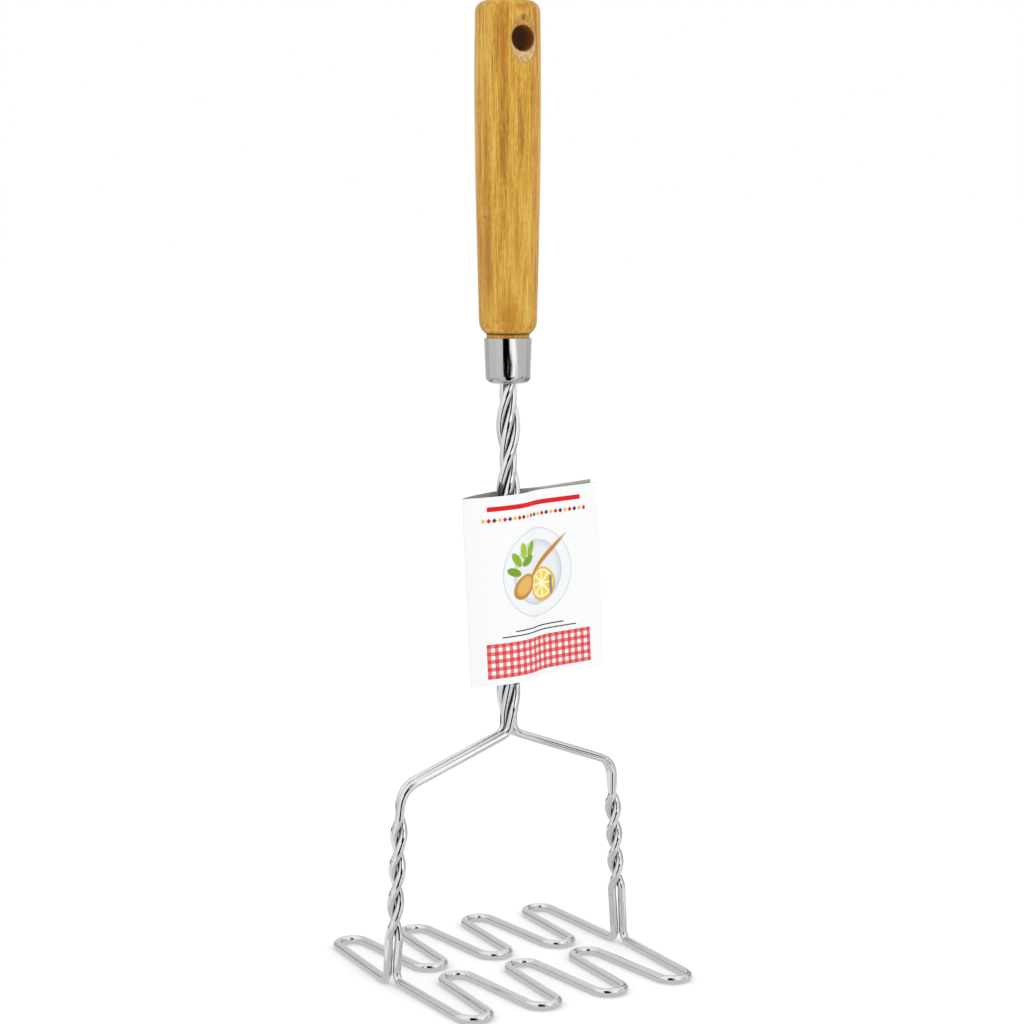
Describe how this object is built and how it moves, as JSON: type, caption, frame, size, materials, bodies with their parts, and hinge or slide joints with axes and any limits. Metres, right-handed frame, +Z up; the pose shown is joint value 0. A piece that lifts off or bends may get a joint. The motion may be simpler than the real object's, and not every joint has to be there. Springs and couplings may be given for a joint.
{
  "type": "potato masher",
  "caption": "Hand potato masher: turned wooden handle, metal ferrule, twisted wire stem with two legs, serpentine wire grid, and a paper tag that turns on the stem.",
  "frame": {"origin": "on the table under the stem, at the middle of the grid's underside", "axes": "+Z up the stem to the handle, +X from the left leg to the right leg, and the hanging hole runs along Y; the front is -Y"},
  "size_m": [0.0946, 0.0976, 0.32],
  "materials": {
    "varnished_wood": "satin",
    "polished_ferrule": "polished",
    "bright_wire": "polished",
    "tag_card": "matte",
    "staple_steel": "satin"
  },
  "bodies": {
    "masher": {"handle": "varnished_wood", "ferrule": "polished_ferrule", "front_wire": "bright_wire", "back_wire": "bright_wire"},
    "tag": {"label_card": "tag_card", "label_staple": "staple_steel"}
  },
  "joints": [
    {"name": "tag_turn", "type": "hinge", "parent": "masher", "child": "tag", "pos_m": [0, 0, 0.1287], "axis": [0, 0, 1], "continuous": true}
  ]
}
